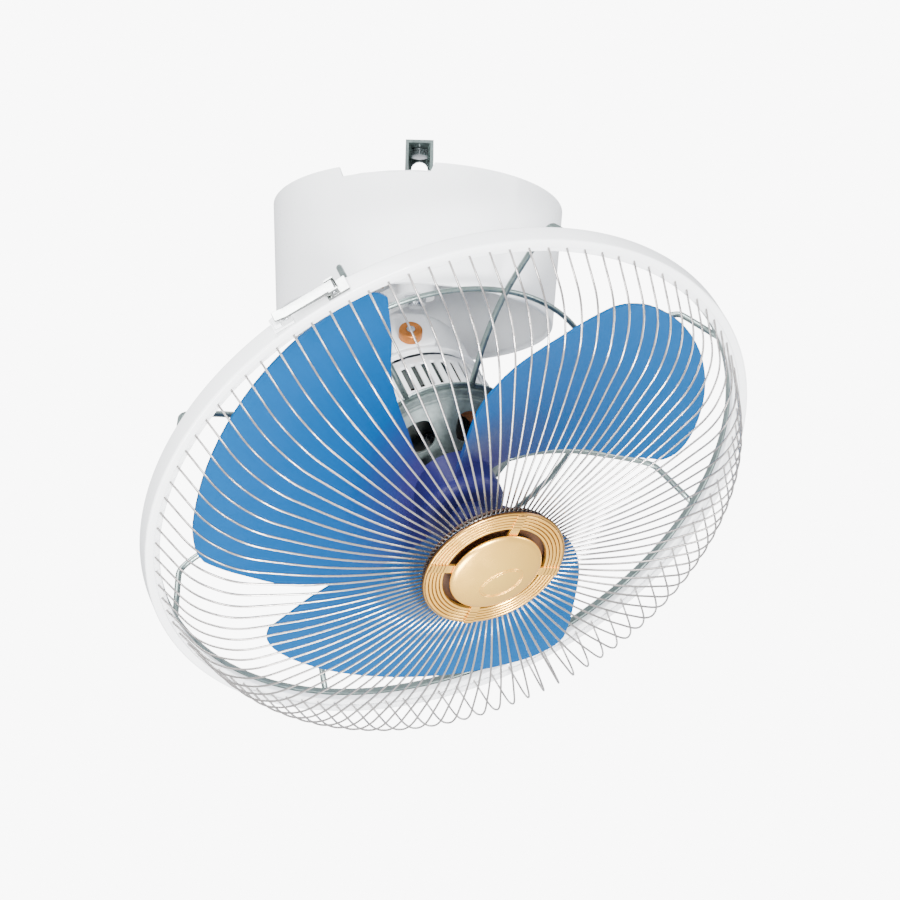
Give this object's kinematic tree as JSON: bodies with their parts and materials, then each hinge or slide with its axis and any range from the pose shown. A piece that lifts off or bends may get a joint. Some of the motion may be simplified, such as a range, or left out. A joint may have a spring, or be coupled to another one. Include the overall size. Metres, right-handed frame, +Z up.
{
  "type": "orbital ceiling fan",
  "caption": "Ceiling fan with a round canopy and a leaning caged head that circles under it on a geared carrier while blue blades spin inside a radial wire guard.",
  "frame": {"origin": "centre of the flat top of the hanger bracket, on the vertical axis the head circles about", "axes": "+Z up along the vertical axis, +X to the right and -Y towards the viewer of the picture; at rest the head leans to the right and towards the viewer"},
  "size_m": [0.4562, 0.4399, 0.4534],
  "materials": {
    "white_paint": "gloss",
    "cream_wire": "gloss",
    "zinc_steel": "satin",
    "cast_grey": "matte",
    "blade_blue": "gloss",
    "gold": "gloss",
    "brass": "satin",
    "steel": "satin",
    "black_plastic": "matte",
    "copper": "satin",
    "core_steel": "matte"
  },
  "bodies": {
    "ceiling_unit": {"hanger_bracket": "zinc_steel", "hanger_bolt": "steel", "support_plate": "zinc_steel", "canopy": "white_paint", "bearing_housing": "cast_grey", "spindle_bush_upper": "brass", "spindle_bush_lower": "brass", "terminal_block": "black_plastic", "run_capacitor": "black_plastic", "cable_grommet": "black_plastic", "canopy_screw_1": "steel", "canopy_screw_2": "steel", "canopy_screw_3": "steel", "mount_screw_1": "steel", "mount_screw_2": "steel", "orbit_motor": "zinc_steel"},
    "pinion": {"drive_pinion": "brass"},
    "carrier": {"carrier_spindle": "steel", "carrier_nut": "steel", "arm_nut": "steel", "spindle_gear": "black_plastic", "carrier_arm": "cast_grey", "crank_pin": "steel", "crank_retainer": "steel"},
    "head": {"swivel_housing": "white_paint", "neck_bush": "brass", "side_bush": "brass", "side_bush_screw": "steel", "motor_rear_housing": "white_paint", "motor_front_cover": "cast_grey", "stator_core": "core_steel", "winding_rear": "copper", "winding_front": "copper", "rear_bearing": "steel", "front_bearing": "steel", "housing_screw_1": "steel", "housing_screw_2": "steel", "housing_screw_3": "steel", "housing_screw_4": "steel", "rear_guard": "zinc_steel", "guard_hoop": "white_paint", "front_guard": "cream_wire", "cap_ring": "gold", "cap_disc": "gold", "cap_plate": "cream_wire", "cap_screw": "steel", "latch_base": "zinc_steel", "latch_pin": "steel", "latch_keeper": "white_paint", "latch_screw": "steel"},
    "lever": {"latch_lever": "zinc_steel"},
    "impeller": {"rotor_core": "core_steel", "motor_shaft": "steel", "blade_impeller": "blade_blue", "spinner_nut": "steel"}
  },
  "joints": [
    {"name": "orbit", "type": "hinge", "parent": "ceiling_unit", "child": "carrier", "pos_m": [0, 0, -0.1], "axis": [0, 0, 1], "continuous": true},
    {"name": "pinion_spin", "type": "hinge", "parent": "ceiling_unit", "child": "pinion", "pos_m": [-0.04137, 0.03471, -0.09], "axis": [0, 0, 1], "continuous": true},
    {"name": "head_turn", "type": "hinge", "parent": "carrier", "child": "head", "pos_m": [0, 0, -0.214], "axis": [0.3665, -0.4652, -0.8058], "continuous": true},
    {"name": "impeller_spin", "type": "hinge", "parent": "head", "child": "impeller", "pos_m": [0, 0, -0.214], "axis": [0.3665, -0.4652, -0.8058], "continuous": true},
    {"name": "latch_swing", "type": "hinge", "parent": "head", "child": "lever", "pos_m": [-0.05545, -0.25484, -0.19634], "axis": [-0.3665, 0.4652, 0.8058], "range_deg": [0, 110]}
  ],
  "couplings": [
    {"joint": "pinion_spin", "follows": "orbit", "ratio": -2},
    {"joint": "head_turn", "follows": "orbit", "ratio": 1}
  ]
}
